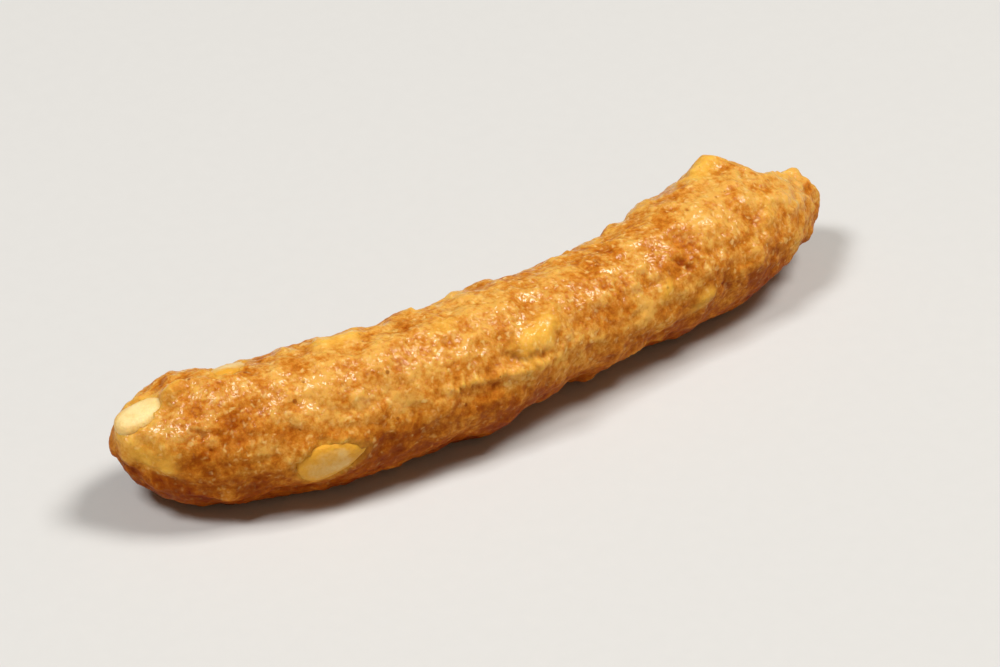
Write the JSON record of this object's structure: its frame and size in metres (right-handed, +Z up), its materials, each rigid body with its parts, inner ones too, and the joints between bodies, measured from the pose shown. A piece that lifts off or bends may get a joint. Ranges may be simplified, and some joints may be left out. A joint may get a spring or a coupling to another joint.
{
  "type": "sesame stick",
  "caption": "Bite-sized fried wheat-dough snack stick, bowed and knobbly, with hulled sesame seeds set in its crust, lying on its belly.",
  "frame": {"origin": "on the table, under the middle of the stick's box", "axes": "+X from the rounded tip to the torn end, -Y towards the outside of the bow, +Z up"},
  "size_m": [0.0378, 0.009, 0.0065],
  "materials": {
    "fried_dough": null,
    "sesame_seed": "ivory hulled seed, satin, tinted golden where the dough laps over it"
  },
  "bodies": {
    "root": {"sesame_stick": "fried_dough"}
  },
  "joints": []
}
